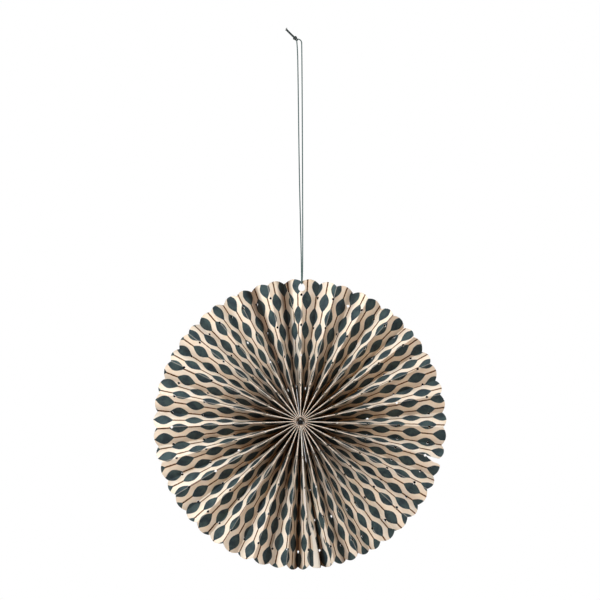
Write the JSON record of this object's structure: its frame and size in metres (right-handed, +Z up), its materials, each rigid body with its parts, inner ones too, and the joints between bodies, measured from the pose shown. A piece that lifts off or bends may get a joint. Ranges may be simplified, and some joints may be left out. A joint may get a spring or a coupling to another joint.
{
  "type": "paper fan medallion",
  "caption": "Round hanging ornament of pleated printed paper with a scalloped rim, drawn together at the hub, on a knotted cord loop.",
  "frame": {"origin": "centre of the hub, half way through the depth of the pleats", "axes": "+Z up to the hanging hole, front of the disc towards -Y, +X to the right seen from the front"},
  "size_m": [0.3, 0.0212, 0.5562],
  "materials": {
    "printed_paper": "matte printed paper, cream with slate green",
    "tie_thread": "dark thread",
    "cord": "twisted dark green cord"
  },
  "bodies": {
    "root": {"right_pleated_sheet": "printed_paper", "left_pleated_sheet": "printed_paper", "centre_tie": "tie_thread", "hanging_cord": "cord", "cord_knot": "cord"}
  },
  "joints": []
}
